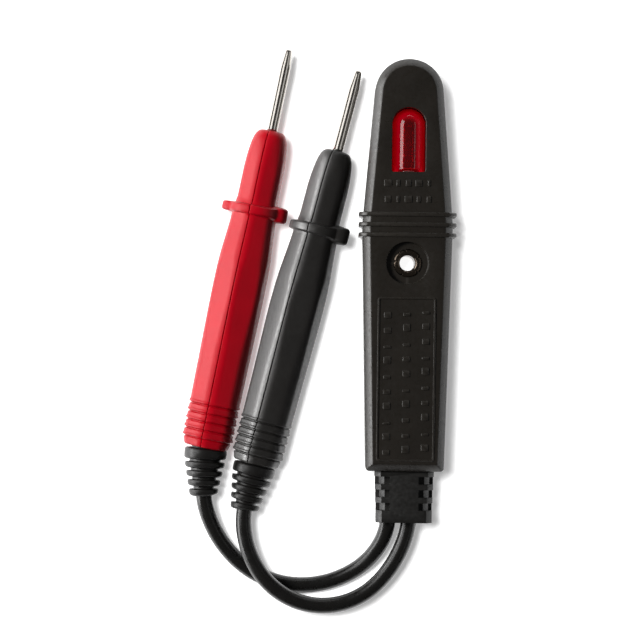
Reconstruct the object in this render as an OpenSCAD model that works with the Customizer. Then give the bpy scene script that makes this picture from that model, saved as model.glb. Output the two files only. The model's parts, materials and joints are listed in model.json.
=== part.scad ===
// Two-probe neon voltage tester, lying flat on its back.
// Frame: origin on the hanging-hole axis at the back resting plane,
// +X to the right, +Y towards the top of the housing, +Z out of the front face.
// Each lead is a chain of short rigid lengths; the probes hang on the chain ends,
// so moving or re-shaping a lead carries its probe with it.
// Name endings: _r radius, _t thickness, _w width, _h height, _x _y _z a place on that axis.

/* [View] */
// which node to build

/* [Housing] */
// thickness from the back face to the front face
body_t = 14; // [13.6:0.2:16]
// distance from the hanging hole to the dome centre
dome_y = 38.1; // [36:0.1:40]
// radius of the domed top
dome_r = 7.7; // [7.4:0.1:8.2]
// half width at the shoulder beside the grip ribs
shoulder_w = 10.15; // [9.8:0.05:11]
// height of the shoulder above the hanging hole
shoulder_y = 8.5; // [8:0.1:9]
// half width at the bottom edge
foot_w = 8.8; // [8.4:0.1:9.4]
// distance from the hanging hole down to the bottom edge
foot_y = 46.7; // [46:0.1:48]
// wall thickness of both shells
wall = 1.7; // [1.4:0.1:1.9]
// width of the bevel round the front face
bevel = 1.7; // [0.8:0.1:2]
// width of the bevel round the back face
back_bevel = 0.9; // [0.4:0.1:1.2]

/* [Grip ribs] */
// height of the lowest rib above the hanging hole
rib_y = 6.3; // [5.8:0.1:6.6]
// distance from one rib to the next
rib_pitch = 2.3; // [2:0.1:2.5]
// width of one rib
rib_t = 1.0; // [0.6:0.1:1.2]
// how far a rib stands out at the sides
rib_out = 0.85; // [0.4:0.05:1]
// how far a rib stands above the front face
rib_up = 0.35; // [0.2:0.05:0.6]

/* [Lamp window] */
// window width
win_w = 7.5; // [7.5:0.1:8]
// bottom edge of the window above the hanging hole
win_y = 20.4; // [20:0.1:21]
// centre of the arched end of the window
win_arch_y = 31.05; // [31.05:0.05:31.4]
// outer radius of the lens
lens_r = 3.7; // [3.5:0.05:3.7]
// height of the lens axis above the back face
lens_z = 10.2; // [10:0.1:10.3]
// outer radius of the glass lamp
lamp_r = 2.9; // [2.6:0.05:2.95]

/* [Hanging hole] */
// radius of the clear hole
hole_r = 1.7; // [1.5:0.05:1.75]
// outer radius of the eyelet barrel
eyelet_r = 2.1; // [2:0.05:2.15]
// radius of the eyelet's rolled flange
flange_r = 3.15; // [2.9:0.05:3.4]
// radius of the recess in the front face
recess_r = 4.72; // [4.4:0.02:4.8]
// depth of the recess in the front face
recess_d = 1.3; // [1:0.1:1.4]

/* [Raised marks] */
// height of the raised frame and the raised dashes
mark_h = 0.25; // [0.15:0.05:0.35]
// half width of the raised frame
frame_w = 6.5; // [6:0.1:6.6]
// width of the line of the raised frame
frame_line = 0.45; // [0.3:0.05:0.6]

/* [Strain relief] */
// width at the housing
relief_w = 13.3; // [13:0.1:13.4]
// width at the cable end
relief_w_end = 12.6; // [12.5:0.1:12.8]
// thickness of the relief
relief_t = 8.8; // [8.6:0.1:9.4]
// length outside the housing
relief_len = 11.5; // [11.4:0.1:11.6]
// distance from one notch to the next
notch_pitch = 2.95; // [2.9:0.05:3]
// width of one notch along the relief
notch_t = 1.7; // [1.5:0.05:1.8]

/* [Leads] */
// outer radius of the cable jacket
cable_r = 1.8; // [1.7:0.05:1.8]
// radius of the copper core
core_r = 0.65; // [0.5:0.05:0.7]
// sideways place where the red probe's lead leaves the relief
red_exit_x = -3.45; // [-3.5:0.05:-3.4]
// sideways place where the black probe's lead leaves the relief
black_exit_x = 1.25; // [1.2:0.05:1.35]
// height of both leads where they leave the relief
exit_z = 7; // [6.8:0.1:7.2]
// heading of both leads at the relief, degrees from +X
exit_heading = -99.6; // [-100:0.2:-99.2]
// red probe's lead: arc length and clockwise turn of each of its four lengths
red_arcs = [[12.98, 45.6], [15.2, 38.6], [15.9, 43.1], [15.4, 34.1]];
// black probe's lead: arc length and clockwise turn of each of its four lengths
black_arcs = [[15.72, 35.2], [15.6, 51.5], [14.8, 48.9], [14.6, 39.4]];
// red probe's lead: height at each end and middle of its lengths, as it dips under the other lead
red_z = [7, 4.7, 2.8, 2.1, 2.05, 2.05, 2.7, 4.5, 6.3];
// black probe's lead: height at each end and middle of its lengths
black_z = [7, 6.95, 6.9, 6.8, 6.75, 6.8, 6.75, 6.6, 6.3];

/* [Probes] */
// height of both probe axes above the table
probe_z = 6.3; // [6.3:0.1:7]
// length of the moulded handle
handle_len = 73; // [72:0.5:76]
// lean of the red probe to the right of +Y, degrees
red_lean = 11.1; // [10.9:0.1:11.3]
// lean of the black probe to the right of +Y, degrees
black_lean = 14.0; // [13.8:0.1:14.2]
// lean of the red probe's boot, degrees
red_boot_lean = 2.25; // [2:0.05:2.6]
// lean of the black probe's boot, degrees
black_boot_lean = 13.3; // [13:0.1:13.6]
// turn of the red probe about its own axis, degrees
red_roll = -11; // [-15:1:15]
// turn of the black probe about its own axis, degrees
black_roll = -20; // [-24:1:20]
// largest radius of the handle
grip_r = 6.15; // [6:0.05:6.2]
// half distance across the handle's flats
flat_r = 5.65; // [5.4:0.05:5.7]
// radius of the nose in front of the finger guard
nose_r = 4.55; // [4.3:0.05:4.6]
// distance from the boot end of the handle to the middle of the finger guard
guard_y = 54.6; // [54:0.1:55]
// reach of the finger guard's wings
guard_w = 7.75; // [7:0.05:7.8]
// reach of the red guard's wing on the side of the black probe
red_guard_in = 7.55; // [7:0.05:7.6]
// reach of the black guard's wing on the side of the red probe
black_guard_in = 6.7; // [6.5:0.05:6.75]
// thickness of the finger guard
guard_t = 2.0; // [1.6:0.1:2.2]
// radius of the contact pin
pin_r = 1.2; // [1.15:0.05:1.2]
// radius of the pin's shank inside the handle
shank_r = 0.9; // [0.85:0.05:1]
// length of pin outside the handle
pin_out = 18.8; // [12:0.1:19]
// length of the pin's tapered end
pin_taper = 3.8; // [2:0.1:5]
// radius of the pin's blunt end
pin_tip_r = 0.75; // [0.5:0.05:0.9]
// length of the soft boot behind the handle
boot_len = 10.5; // [10.2:0.1:10.8]
// distance from one boot ring to the next
ring_pitch = 2.15; // [2:0.05:2.2]

/* [Hidden] */
$fn = 72;

black_col = [0.12, 0.11, 0.10];
grip_col = [0.16, 0.15, 0.15];
red_col = [0.75, 0.0, 0.08];
lens_col = [0.8, 0.05, 0.06, 0.6];
glass_col = [0.9, 0.8, 0.75, 0.35];
metal_col = [0.78, 0.77, 0.75];
copper_col = [0.75, 0.42, 0.25];
sleeve_col = [0.85, 0.83, 0.75];
resistor_col = [0.75, 0.62, 0.42];
eyelet_col = [0.45, 0.42, 0.38];
ferrule_col = [0.72, 0.6, 0.35];

lap = 0.01; // small overlap between joined or cut faces
over = 1; // how far a cutter runs past a face
split_z = body_t / 2; // seam between the shells
rear_top = split_z - 0.02; // top of the rear shell, just short of the seam
fit = 0.03; // clearance round the cable jacket
core_bore_r = core_r + 0.02;
cup_r = cable_r + 0.06; // hollow at the last end of a jacket
core_cup_r = cup_r + 0.04; // the same hollow, as cut from a core
ball_r = cable_r - 0.05; // round nose at the first end of a jacket
relief_y = -foot_y - 0.1;
exit_y = relief_y - relief_len - 0.4;

// neck of the strain relief and the opening for it in the bottom edge
neck_w = 11.9;
neck_h = 7;
neck_clear = 0.05;
opening_w = neck_w + 2 * neck_clear;
opening_up = neck_h / 2 + neck_clear;

// ---------- lead paths ----------
function right_of(heading) = [sin(heading), -cos(heading)];
function arc_radius(arc) = arc[0] * 180 / (PI * arc[1]);
// place reached after a share of an arc
function turned(start, heading, arc, share) =
    start + arc_radius(arc) * (right_of(heading) - right_of(heading - arc[1] * share));
// heading and place at the first end of length i
function heading_at(arcs, i) =
    i == 0 ? exit_heading : heading_at(arcs, i - 1) - arcs[i - 1][1];
function place_at(exit_x, arcs, i) =
    i == 0 ? [exit_x, exit_y]
    : turned(place_at(exit_x, arcs, i - 1), heading_at(arcs, i - 1), arcs[i - 1], 1);
function middle_at(exit_x, arcs, i) =
    turned(place_at(exit_x, arcs, i), heading_at(arcs, i), arcs[i], 0.5);
// the same places with their heights
function station(exit_x, arcs, heights, i) =
    let (place = place_at(exit_x, arcs, i)) [place[0], place[1], heights[2 * i]];
function mid_station(exit_x, arcs, heights, i) =
    let (place = middle_at(exit_x, arcs, i)) [place[0], place[1], heights[2 * i + 1]];

function unit(v) = v / norm(v);
// centre of the circle through three points
function arc_centre(start, middle, end) =
    let (to_mid = middle - start, to_end = end - start, normal = cross(to_mid, to_end))
    start + (cross(normal, to_mid) * (to_end * to_end) + cross(to_end, normal) * (to_mid * to_mid))
        / (2 * (normal * normal));

// the joint is where the boot meets the handle
boot_reach = boot_len + 0.5;
function boot_dir(boot_lean) = [sin(boot_lean), cos(boot_lean), 0];
function joint_of(lead_end, boot_lean) =
    [lead_end[0], lead_end[1], probe_z] + boot_reach * boot_dir(boot_lean);
red_joint = joint_of(place_at(red_exit_x, red_arcs, 4), red_boot_lean);
black_joint = joint_of(place_at(black_exit_x, black_arcs, 4), black_boot_lean);

// ---------- helpers ----------
// child geometry moved to an origin, with its axes along three unit vectors
module in_frame(x, y, z, origin) {
    multmatrix([
        [x[0], y[0], z[0], origin[0]],
        [x[1], y[1], z[1], origin[1]],
        [x[2], y[2], z[2], origin[2]],
        [0, 0, 0, 1]
    ]) children();
}

module rod(start, end, radius) {
    z = unit(end - start);
    side = abs(z[2]) < 0.9 ? [0, 0, 1] : [1, 0, 0];
    x = unit(cross(side, z));
    in_frame(x, cross(z, x), z, start) cylinder(h = norm(end - start), r = radius);
}

// round bar bent along the arc through three points
module arc_tube(start, middle, end, radius) {
    centre = arc_centre(start, middle, end);
    bend_r = norm(start - centre);
    x = unit(start - centre);
    z = unit(cross(start - centre, middle - centre));
    in_frame(x, cross(z, x), z, centre)
        rotate_extrude(angle = 2 * asin(norm(end - start) / 2 / bend_r))
            translate([bend_r, 0]) circle(r = radius);
}

// cylinder along +Y
module bar_y(from_y, to_y, radius) {
    translate([0, from_y, 0]) rotate([-90, 0, 0]) cylinder(h = to_y - from_y, r = radius);
}

// solid of revolution about +Y from [radius, y] points
module turned_y(points) {
    rotate([-90, 0, 0]) rotate_extrude() polygon(points);
}

// cylinder along +Y with a round nose beyond to_y
module bullet_y(from_y, to_y, radius) {
    len = to_y - from_y;
    translate([0, from_y, 0]) rotate([-90, 0, 0]) rotate_extrude()
        intersection() {
            union() {
                square([radius, len]);
                translate([0, len]) circle(r = radius);
            }
            square([radius, len + radius]);
        }
}

// ---------- housing ----------
// the side line runs from the shoulder to the dome and touches the dome
shoulder = [shoulder_w, shoulder_y];
from_dome = shoulder - [0, dome_y];
touch_dir = atan2(from_dome[1], from_dome[0]) + acos(dome_r / norm(from_dome));
touch = [dome_r * cos(touch_dir), dome_y + dome_r * sin(touch_dir)];

foot_corner = 0.8; // corner cut at the bottom of the outline
post_ys = [-14, -30]; // locating posts
post_r = 1.6;
socket_r = 2.8; // socket in the front shell and collar in the rear shell
hub_r = 3.4; // hub round the hanging hole
eyelet_fit = 0.05;
root = 1; // depth inside a face where most inner features start
front_cut_z = 1; // height where cutters through the front shell start

module outline(inset = 0) {
    translate([0, dome_y]) circle(r = dome_r - inset);
    normal = unit([touch[0], touch[1] - dome_y]);
    join = touch - normal * inset;
    side = shoulder_w - inset;
    foot = foot_w - inset;
    bottom = -foot_y + inset;
    polygon([
        join, [side, shoulder_y],
        [foot, bottom + foot_corner], [foot - foot_corner, bottom],
        [-foot + foot_corner, bottom], [-foot, bottom + foot_corner],
        [-side, shoulder_y], [-join[0], join[1]], [0, dome_y]
    ]);
}

// wedge that takes the top edge off between two outline points
module edge_cut(start, end, z, width) {
    run_on = 3;
    translate([start[0], start[1], z - width])
        rotate([0, 0, atan2(end[1] - start[1], end[0] - start[0])])
            translate([-run_on, 0, 0]) rotate([45, 0, 0])
                cube([norm(end - start) + 2 * run_on, 4 * width, 4 * width]);
}

module left_edge_cuts(z, width) {
    edge_cut([-foot_w, -foot_y], [-shoulder_w, shoulder_y], z, width);
    edge_cut([-shoulder_w, shoulder_y], [-touch[0], touch[1]], z, width);
}

// bevel all round the face at height z; the cutters lie outside the outline
module face_bevel(z, width) {
    clear_r = dome_r + 4;
    inner_r = dome_r - width - lap;
    left_edge_cuts(z, width);
    mirror([1, 0, 0]) left_edge_cuts(z, width);
    // the bottom edge has a narrower bevel
    edge_cut([foot_w + 2, -foot_y], [-foot_w - 2, -foot_y], z, width * 0.6);
    // conical cut round the dome, kept above the touch points and outside the face
    intersection() {
        translate([0, dome_y, z - width]) difference() {
            cylinder(h = 3 * width, r = clear_r);
            translate([0, 0, -lap]) cylinder(h = width + 2 * lap, r1 = dome_r + lap, r2 = inner_r);
            translate([0, 0, width - lap]) cylinder(h = 3 * width, r = 0.1);
        }
        translate([-20, touch[1], z - 2 * width]) cube([40, 20, 6 * width]);
        translate([0, dome_y, z - 2 * width]) difference() {
            cylinder(h = 6 * width, r = clear_r);
            translate([0, 0, -over]) cylinder(h = 6 * width, r = inner_r);
        }
    }
}

// ribs from the seam to face_z, hollowed by the inner outline over hollow_h;
// their corners slope in by corner_w between side_z and face_z
module ribs(seam_z, side_z, face_z, corner_w, hollow_h) {
    reach = shoulder_w + rib_out - 0.05;
    for (i = [0:2]) intersection() {
        translate([0, rib_y + i * rib_pitch + rib_t / 2, 0]) rotate([90, 0, 0])
            linear_extrude(rib_t) polygon([
                [-reach, seam_z], [reach, seam_z], [reach, side_z],
                [reach - corner_w, face_z], [-reach + corner_w, face_z], [-reach, side_z]
            ]);
        difference() {
            translate([-20, 0, 0]) cube([40, 20, 20]);
            translate([0, 0, -over]) linear_extrude(hollow_h) outline(wall);
        }
    }
}

module window_shape() {
    translate([0, win_arch_y]) circle(r = win_w / 2);
    translate([-win_w / 2, win_y]) square([win_w, win_arch_y - win_y]);
}

// the dash lengths follow a simple wave
function dash_len(i, column) = 1.15 + 0.55 * sin(137 * i + 71 * column);

module marks() {
    frame_y = -44.35;
    frame_len = 36.7;
    inner_w = frame_w - frame_line;
    column_pitch = 4.3;
    dash_w = 1.6;
    // plain frame
    difference() {
        translate([-frame_w, frame_y, 0]) cube([2 * frame_w, frame_len, mark_h]);
        translate([-inner_w, frame_y + frame_line, -1])
            cube([2 * inner_w, frame_len - 2 * frame_line, 3]);
    }
    // three columns of dashes
    for (column = [0:2], i = [0:9])
        translate([(column - 1) * column_pitch - dash_w / 2, -43 + i * 3.4 + 0.5 * column, 0])
            cube([dash_w, dash_len(i, column), mark_h]);
    // two short rows under the window
    for (row = [0:1], i = [-2:2])
        translate([i * 2.3 - dash_len(i, row) / 2, 17.1 - row * 3.6, 0])
            cube([dash_len(i, row), 1.5, mark_h]);
}

// upright cylinder on the centre line
module boss(y, radius, from_z, to_z) {
    translate([0, y, from_z]) cylinder(h = to_z - from_z, r = radius);
}

// cutter for the strain relief's neck
module neck_opening(from_z, height) {
    translate([-opening_w / 2, -foot_y - over, from_z]) cube([opening_w, 4, height]);
}

module front_shell() {
    hollow_top = body_t - wall;
    boss_top = body_t - root;
    color(black_col) difference() {
        union() {
            difference() {
                translate([0, 0, split_z]) linear_extrude(body_t - split_z) outline();
                face_bevel(body_t, bevel);
                translate([0, 0, split_z - over])
                    linear_extrude(hollow_top - split_z + over) outline(wall);
            }
            ribs(seam_z = split_z, side_z = body_t + rib_up - bevel, face_z = body_t + rib_up,
                corner_w = bevel, hollow_h = hollow_top + over);
            translate([0, 0, body_t - lap]) marks();
            // hub round the hanging hole, with a pad behind the recess
            boss(0, hub_r, split_z, boss_top);
            boss(0, 5.9, body_t - recess_d - 1.2, boss_top);
            // sockets for the locating posts
            for (y = post_ys) boss(y, socket_r, split_z, boss_top);
        }
        translate([0, 0, body_t - recess_d]) cylinder(h = 5, r = recess_r);
        translate([0, 0, front_cut_z]) cylinder(h = 20, r = eyelet_r + eyelet_fit);
        translate([0, 0, hollow_top - over]) linear_extrude(5) window_shape();
        for (y = post_ys) boss(y, post_r + 0.05, front_cut_z, split_z + 2.6);
        neck_opening(front_cut_z, split_z + opening_up - front_cut_z);
    }
}

module rear_shell() {
    color(black_col) difference() {
        union() {
            difference() {
                linear_extrude(rear_top) outline();
                mirror([0, 0, 1]) face_bevel(0, back_bevel);
                translate([0, 0, wall]) linear_extrude(20) outline(wall);
            }
            // side ribs carry on down the edge
            ribs(seam_z = rear_top, side_z = 1.8, face_z = 0.6, corner_w = 1, hollow_h = 30);
            // hub and pad round the hanging hole
            boss(0, hub_r, 0.5, rear_top);
            boss(0, 5, 0.5, 2.4);
            // locating posts and their collars
            for (y = post_ys) {
                boss(y, post_r, root, split_z + 2.4);
                boss(y, socket_r, root, rear_top);
            }
            // cradle either side of the lens flange
            translate([-7.5, 17.1, root]) cube([15, 1.1, rear_top - root]);
            translate([-6.5, 19.8, root]) cube([13, 1.1, rear_top - root]);
            // tongue inside the seam, left out round the neck opening
            difference() {
                translate([0, 0, split_z - 1]) linear_extrude(2) outline(wall + 0.06);
                translate([0, 0, split_z - 2]) linear_extrude(5) outline(wall + 0.7);
                translate([-7, -foot_y, split_z - 2]) cube([14, 6, 6]);
            }
        }
        // eyelet flange and barrel
        translate([0, 0, -over]) cylinder(h = 1.5, r = flange_r + 0.1);
        translate([0, 0, -over]) cylinder(h = 20, r = eyelet_r + eyelet_fit);
        neck_opening(split_z - opening_up, 10);
        // round seats in the cradle
        translate([0, 0, lens_z]) bar_y(19, 22, lens_r + 0.1);
        translate([0, 0, lens_z]) bar_y(16, 19, 4.1);
    }
}

module eyelet() {
    lip_t = 0.5;
    lip_r = lip_t / 2;
    front_z = body_t - recess_d;
    color(eyelet_col) difference() {
        union() {
            cylinder(h = front_z + lip_t, r = eyelet_r);
            cylinder(h = 0.45, r = flange_r);
            // rolled front flange with a rounded rim
            translate([0, 0, front_z]) rotate_extrude() union() {
                square([flange_r - lip_r, lip_t]);
                translate([flange_r - lip_r, lip_r]) circle(r = lip_r);
            }
        }
        translate([0, 0, -over]) cylinder(h = 30, r = hole_r);
    }
}

// ---------- lamp ----------
electrode_x = 1; // sideways place of each electrode

module lamp_lens() {
    flange_lens_r = 4.6;
    color(lens_col) translate([0, 0, lens_z]) difference() {
        union() {
            bullet_y(win_y + 0.05, win_arch_y - 0.05, lens_r);
            // the part under the shell is flat on top
            intersection() {
                union() {
                    bar_y(18.4, 19.6, flange_lens_r);
                    bar_y(19.5, win_y + 0.1, lens_r);
                }
                translate([-6, 10, -4.4]) cube([12, 20, 4.4 + body_t - wall - lens_z - 0.1]);
            }
        }
        bullet_y(17, win_arch_y - 0.3, lens_r - 0.6);
    }
}

module neon_glass() {
    color(glass_col) translate([0, 0, lens_z]) difference() {
        bullet_y(20.5, 30.6, lamp_r);
        bullet_y(21.3, 30.4, lamp_r - 0.5);
        // holes for the two wires
        for (side = [-1, 1]) translate([side * electrode_x, 0, 0]) bar_y(19, 22, 0.27);
    }
}

// ---------- wiring ----------
// sideways place and height of the straight wire run on each side
wire_x = 5.2;
wire_z = 8;
wire_r = 0.25;
wire_joint_r = 0.33;
upper_crimp_y = -11;
lower_crimp_y = -29.5;

function on_run(side, y) = [side * wire_x, y, wire_z];
module run_rod(side, from_y, to_y, radius) {
    rod(on_run(side, from_y), on_run(side, to_y), radius);
}

module neon_electrodes() {
    color(metal_col) for (side = [-1, 1]) {
        upper_bend = [side * electrode_x, 17.5, lens_z];
        lower_bend = on_run(side, 11.5);
        translate([side * electrode_x, 0, lens_z]) bar_y(22.3, 29.5, 0.45);
        rod([side * electrode_x, 22.4, lens_z], upper_bend, wire_r);
        translate(upper_bend) sphere(r = wire_joint_r, $fn = 24);
        rod(upper_bend, lower_bend, wire_r);
        translate(lower_bend) sphere(r = wire_joint_r, $fn = 24);
        rod(lower_bend, on_run(side, side < 0 ? upper_crimp_y : -29.4), wire_r);
    }
}

module wire_sleeves() {
    color(sleeve_col) for (side = [-1, 1]) {
        top_y = 10.8;
        end_y = side < 0 ? -8.2 : -26.7;
        difference() {
            run_rod(side, top_y, end_y, 0.65);
            run_rod(side, top_y + over, end_y - over, 0.3);
        }
    }
}

module splice_crimps() {
    // columns: side, middle y
    places = [[-1, upper_crimp_y], [-1, lower_crimp_y], [1, lower_crimp_y]];
    half_len = 2.5;
    color(metal_col) for (place = places) difference() {
        run_rod(place[0], place[1] + half_len, place[1] - half_len, 1.05);
        run_rod(place[0], place[1] + half_len + 0.5, place[1] - half_len - 0.5, 0.7);
    }
}

// the resistor lies on the left-hand run
resistor_top = -17;
resistor_end = -23.4;

module resistor_body() {
    band = 1.4; // length of the thicker band at each end
    band_r = 1.2;
    wire_hole_r = 0.32;
    color(resistor_col) difference() {
        union() {
            run_rod(-1, resistor_top, resistor_end, 1.05);
            run_rod(-1, resistor_top, resistor_top - band, band_r);
            run_rod(-1, resistor_end + band, resistor_end, band_r);
        }
        run_rod(-1, resistor_top + over, resistor_top - 1, wire_hole_r);
        run_rod(-1, resistor_end + 1, resistor_end - over, wire_hole_r);
    }
}

module resistor_wires() {
    depth = 0.9; // how far the wires reach into the body
    color(metal_col) {
        run_rod(-1, -11.4, resistor_top - depth, 0.3);
        run_rod(-1, resistor_end + depth, -29.2, 0.3);
    }
}

// ---------- strain relief ----------
// rectangle with cut corners, from its half sizes
module cut_rectangle(half_w, half_h, corner) {
    polygon([
        [-half_w + corner, -half_h], [half_w - corner, -half_h],
        [half_w, -half_h + corner], [half_w, half_h - corner],
        [half_w - corner, half_h], [-half_w + corner, half_h],
        [-half_w, half_h - corner], [-half_w, -half_h + corner]
    ]);
}

// bar, spine and thin side web left between two lands
module relief_core(width) {
    cut_rectangle(width / 2 - 0.95, 3.1, 1.2);
    square([6.4, relief_t], center = true);
    square([width - 0.2, 2.4], center = true);
}

module relief_slab(top_y, bottom_y) {
    translate([0, top_y, exit_z]) rotate([90, 0, 0]) linear_extrude(top_y - bottom_y) children();
}

module strain_relief() {
    last = 3; // index of the last land
    // bottom edge of each land, where the notch below it starts
    land_ends = [for (i = [0:last]) relief_y - 1.15 - i * notch_pitch];
    color(grip_col) difference() {
        union() {
            // flange and neck inside the housing
            relief_slab(relief_y + 4, relief_y + 2.1) square([13, 9.3], center = true);
            relief_slab(relief_y + 2.2, relief_y - 0.2) square([neck_w, neck_h], center = true);
            for (i = [0:last]) {
                width = relief_w + (relief_w_end - relief_w) * i / last;
                top_y = i == 0 ? relief_y : land_ends[i - 1] - notch_t;
                relief_slab(top_y, i == last ? relief_y - relief_len : land_ends[i])
                    cut_rectangle(width / 2, relief_t / 2, 1.3);
                if (i < last)
                    relief_slab(land_ends[i] + lap, land_ends[i] - notch_t - lap)
                        relief_core(width);
            }
        }
        for (x = [red_exit_x, black_exit_x])
            translate([x, 0, exit_z]) bar_y(exit_y - 2, relief_y + 6, cable_r + fit);
    }
}

// ---------- leads ----------
// one length of jacket: round nose at its first end, matching hollow at its last end
module jacket(exit_x, arcs, heights, i) {
    start = station(exit_x, arcs, heights, i);
    middle = mid_station(exit_x, arcs, heights, i);
    end = station(exit_x, arcs, heights, i + 1);
    color(black_col) difference() {
        union() {
            arc_tube(start, middle, end, cable_r);
            translate(start) sphere(r = ball_r);
        }
        arc_tube(start, middle, end, core_bore_r);
        translate(end) sphere(r = cup_r);
    }
}

module core(exit_x, arcs, heights, i) {
    start = station(exit_x, arcs, heights, i);
    end = station(exit_x, arcs, heights, i + 1);
    color(copper_col) difference() {
        arc_tube(start, mid_station(exit_x, arcs, heights, i), end, core_r);
        translate(end) sphere(r = core_cup_r);
    }
}

module red_jacket(i) { jacket(red_exit_x, red_arcs, red_z, i); }
module red_core(i) { core(red_exit_x, red_arcs, red_z, i); }
module black_jacket(i) { jacket(black_exit_x, black_arcs, black_z, i); }
module black_core(i) { core(black_exit_x, black_arcs, black_z, i); }

// straight tails through the relief into the housing
tail_top = -36.5;

module tail_jacket(x) {
    color(black_col) difference() {
        translate([x, 0, exit_z]) bar_y(exit_y, tail_top, cable_r);
        translate([x, 0, exit_z]) bar_y(exit_y - over, tail_top + over, core_bore_r);
        translate([x, exit_y, exit_z]) sphere(r = cup_r);
    }
}

// the bare core bends across to the wire run on its side
module tail_core(x, side) {
    bend = [x, tail_top + 1.2, exit_z];
    run_start = on_run(side, -33.4);
    knuckle_r = core_r + 0.15;
    color(copper_col) difference() {
        union() {
            translate([x, 0, exit_z]) bar_y(exit_y, bend[1], core_r);
            translate(bend) sphere(r = knuckle_r);
            rod(bend, run_start, core_r);
            translate(run_start) sphere(r = knuckle_r);
            rod(run_start, on_run(side, -29.8), core_r);
        }
        translate([x, exit_y, exit_z]) sphere(r = core_cup_r);
    }
}

// ---------- probes ----------
// child geometry is drawn in the probe's own frame: +Y from the boot end to the pin
module at_probe(joint, lean, roll) {
    translate(joint) rotate([0, 0, -lean]) rotate([0, roll, 0]) children();
}
module at_red() { at_probe(red_joint, red_lean, red_roll) children(); }
module at_black() { at_probe(black_joint, black_lean, black_roll) children(); }

// parts held in the handle, and the clearance of their pockets
plug_r = 3.25;
plug_end = 4.4;
ferrule_r = 1.92;
collar_r = 1.95;
collar_start = 50.5;
collar_end = 52;
pocket_fit = 0.05;
shank_bore_r = shank_r + 0.02;

body_end = guard_y - guard_t / 2 + 0.2;
// columns: radius, y
body_profile = [
    [0, 0], [5.05, 0], [5.4, 1.3], [5.75, 2.3], [5.75, 10.6], [5.8, 13], [5.85, 20],
    [6.0, 27], [grip_r, 33], [grip_r, 37], [6.1, 41], [5.8, 45], [5.45, 49], [5.25, 51.5],
    [5.1, body_end], [0, body_end]
];
// columns: radius, y
nose_profile = [
    [0, guard_y], [nose_r + 0.25, guard_y], [nose_r + 0.25, guard_y + 1.2],
    [nose_r, guard_y + 2.2], [nose_r, handle_len - 9], [nose_r - 0.1, handle_len - 6.5],
    [nose_r - 0.35, handle_len - 4], [nose_r - 0.75, handle_len - 2],
    [nose_r - 1.3, handle_len - 0.7], [nose_r - 2.1, handle_len], [0, handle_len]
];

module handle_outer(reach_left, reach_right) {
    wing_r = 2.3;
    difference() {
        intersection() {
            turned_y(body_profile);
            // six-sided grip with an edge on the seam
            rotate([-90, 0, 0]) translate([0, 0, -1]) rotate([0, 0, 30])
                cylinder(h = handle_len, r = flat_r / cos(30), $fn = 6);
        }
        // five grooves at the boot end, each shallower than the one before
        for (i = [0:4])
            rotate([-90, 0, 0]) translate([0, 0, 0.95 + i * 1.9]) rotate_extrude()
                translate([4.75 + i * 0.1, 0]) square([3, 0.85]);
    }
    turned_y(nose_profile);
    // finger guard: round plate with two rounded wings
    translate([0, guard_y - guard_t / 2, 0]) rotate([-90, 0, 0]) linear_extrude(guard_t) {
        circle(r = 6.15);
        translate([wing_r - reach_left, 0]) circle(r = wing_r);
        translate([reach_right - wing_r, 0]) circle(r = wing_r);
        translate([wing_r - reach_left, -wing_r])
            square([reach_left + reach_right - 2 * wing_r, 2 * wing_r]);
    }
}

// bores for the shank, collar, ferrule, cable and boot plug
module handle_inner() {
    bar_y(44, handle_len + over, shank_bore_r);
    bar_y(collar_start - 0.1, collar_end + 0.1, collar_r + pocket_fit);
    bar_y(39.4, 50, ferrule_r + pocket_fit);
    bar_y(-over, 39.5, cable_r + fit);
    bar_y(-over, plug_end + 0.2, plug_r + pocket_fit);
}

// side -1 is the left half, 1 the right half
module handle_half(side, reach_left, reach_right) {
    intersection() {
        difference() {
            handle_outer(reach_left, reach_right);
            handle_inner();
        }
        translate([side < 0 ? -20 : lap, -5, -20]) cube([20 - lap, 90, 40]);
    }
}

module pin() {
    start = 45.4;
    step = handle_len + 0.05;
    end = handle_len + pin_out;
    color(metal_col) turned_y([
        [0, start], [shank_r, start],
        [shank_r, collar_start], [collar_r, collar_start],
        [collar_r, collar_end], [shank_r, collar_end],
        [shank_r, step], [pin_r, step], [pin_r, end - pin_taper],
        [pin_tip_r, end - 0.25], [pin_tip_r - 0.25, end], [0, end]
    ]);
}

module ferrule() {
    color(ferrule_col) difference() {
        bar_y(40, 49.6, ferrule_r);
        bar_y(45, 50, shank_bore_r);
        bar_y(39, 46, core_bore_r);
    }
}

// soft boot: plug in the handle, then rings along the boot's own direction
module boot(joint, lean, boot_lean, roll) {
    last = 3; // index of the last ring
    head_r = 4.6;
    neck_start = 2.75; // distance from the joint to the first ring's groove
    tail = boot_len - 0.1;
    // the head clears the handle's end on the inside of the bend
    head_start = max(0.62, head_r * tan(abs(lean - boot_lean)) + 0.06);
    rings = [
        for (i = [0:last])
            each let (ring_r = 4.45 - i * 0.36, start = neck_start + i * ring_pitch - i * 0.12) [
                [ring_r - 1.0, start + 0.1],
                [ring_r - 1.0, start + 0.75],
                [ring_r, start + 0.85],
                [ring_r - 0.05, i < last ? start + 2.05 : tail]
            ]
    ];
    color(grip_col) difference() {
        union() {
            at_probe(joint, lean, roll) bar_y(-1.7, plug_end, plug_r);
            translate(joint) rotate([0, 0, -boot_lean]) mirror([0, 1, 0]) turned_y(concat(
                [[0, head_start], [head_r, head_start], [4.75, head_start + 0.28]],
                [[4.7, neck_start]],
                rings,
                [[0, tail]]
            ));
        }
        // wide hole in the plug, close hole behind it
        at_probe(joint, lean, roll) bar_y(-1.3, 5, 2.3);
        translate(joint) rotate([0, 0, -boot_lean]) bar_y(-boot_reach - over, -0.9, cable_r + fit);
    }
}

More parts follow.
